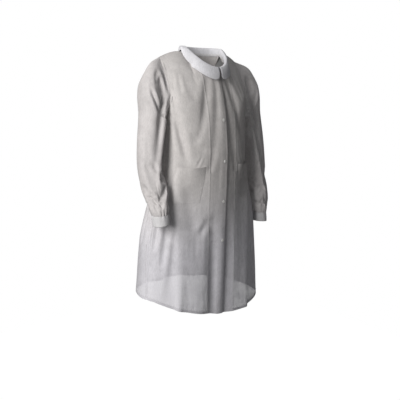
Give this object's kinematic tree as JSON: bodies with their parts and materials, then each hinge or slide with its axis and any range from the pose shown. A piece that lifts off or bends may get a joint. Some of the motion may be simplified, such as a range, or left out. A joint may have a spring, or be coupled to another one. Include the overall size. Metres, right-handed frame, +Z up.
{
  "type": "disposable lab coat",
  "caption": "Knee-length lab coat of translucent white nonwoven cloth with a fold-down collar, snap front, two patch pockets and banded cuffs.",
  "frame": {"origin": "centre of the neck, level with the point where the shoulder seams meet the collar", "axes": "+Z up along the coat, -Y to the front, +X to the wearer's left"},
  "size_m": [0.6886, 0.3772, 1.1156],
  "materials": {
    "nonwoven": "translucent bonded nonwoven, matt with a faint silky sheen",
    "folded_nonwoven": "the same cloth in two or more layers",
    "snap_plastic": "semi-gloss moulded"
  },
  "bodies": {
    "coat_body": {"back_panel": "nonwoven", "right_side_front": "nonwoven", "left_side_front": "nonwoven", "right_pocket": "nonwoven", "left_pocket": "nonwoven", "right_shoulder_seam": "folded_nonwoven", "left_shoulder_seam": "folded_nonwoven", "right_side_seam": "folded_nonwoven", "left_side_seam": "folded_nonwoven", "right_armhole_seam": "folded_nonwoven", "left_armhole_seam": "folded_nonwoven", "collar_back": "folded_nonwoven", "neck_band_back": "folded_nonwoven"},
    "right_front": {"right_front_edge": "nonwoven", "right_facing": "folded_nonwoven", "collar_right_end": "folded_nonwoven", "neck_band_right_end": "folded_nonwoven", "right_snap_cap_1": "snap_plastic", "right_snap_cap_2": "snap_plastic", "right_snap_cap_3": "snap_plastic", "right_snap_cap_4": "snap_plastic", "right_snap_cap_5": "snap_plastic", "right_snap_socket_1": "snap_plastic", "right_snap_socket_2": "snap_plastic", "right_snap_socket_3": "snap_plastic", "right_snap_socket_4": "snap_plastic", "right_snap_socket_5": "snap_plastic"},
    "left_front": {"left_front_edge": "nonwoven", "left_facing": "folded_nonwoven", "collar_left_end": "folded_nonwoven", "neck_band_left_end": "folded_nonwoven", "left_snap_stud_1": "snap_plastic", "left_snap_stud_2": "snap_plastic", "left_snap_stud_3": "snap_plastic", "left_snap_stud_4": "snap_plastic", "left_snap_stud_5": "snap_plastic", "left_snap_back_1": "snap_plastic", "left_snap_back_2": "snap_plastic", "left_snap_back_3": "snap_plastic", "left_snap_back_4": "snap_plastic", "left_snap_back_5": "snap_plastic"},
    "right_sleeve": {"right_upper_sleeve": "nonwoven"},
    "right_forearm": {"right_lower_sleeve": "nonwoven", "right_cuff": "folded_nonwoven"},
    "left_sleeve": {"left_upper_sleeve": "nonwoven"},
    "left_forearm": {"left_lower_sleeve": "nonwoven", "left_cuff": "folded_nonwoven"}
  },
  "joints": [
    {"name": "right_front_fold", "type": "hinge", "parent": "coat_body", "child": "right_front", "pos_m": [-0.082, -0.16, -0.29], "axis": [0, -0.034, 0.9994], "range_deg": [-110, 0]},
    {"name": "left_front_fold", "type": "hinge", "parent": "coat_body", "child": "left_front", "pos_m": [0.082, -0.16, -0.29], "axis": [0, -0.034, 0.9994], "range_deg": [0, 22]},
    {"name": "right_shoulder_lift", "type": "hinge", "parent": "coat_body", "child": "right_sleeve", "pos_m": [-0.2055, 0.006, -0.018], "axis": [0, 1, 0], "range_deg": [0, 60]},
    {"name": "left_shoulder_lift", "type": "hinge", "parent": "coat_body", "child": "left_sleeve", "pos_m": [0.2055, 0.006, -0.018], "axis": [0, -1, 0], "range_deg": [0, 60]},
    {"name": "right_elbow", "type": "hinge", "parent": "right_sleeve", "child": "right_forearm", "pos_m": [-0.287, -0.091, -0.44], "axis": [-1, 0, 0], "range_deg": [0, 70]},
    {"name": "left_elbow", "type": "hinge", "parent": "left_sleeve", "child": "left_forearm", "pos_m": [0.287, -0.091, -0.44], "axis": [-1, 0, 0], "range_deg": [0, 70]}
  ],
  "couplings": [
    {"joint": "left_front_fold", "follows": "right_front_fold", "ratio": -0.2}
  ]
}
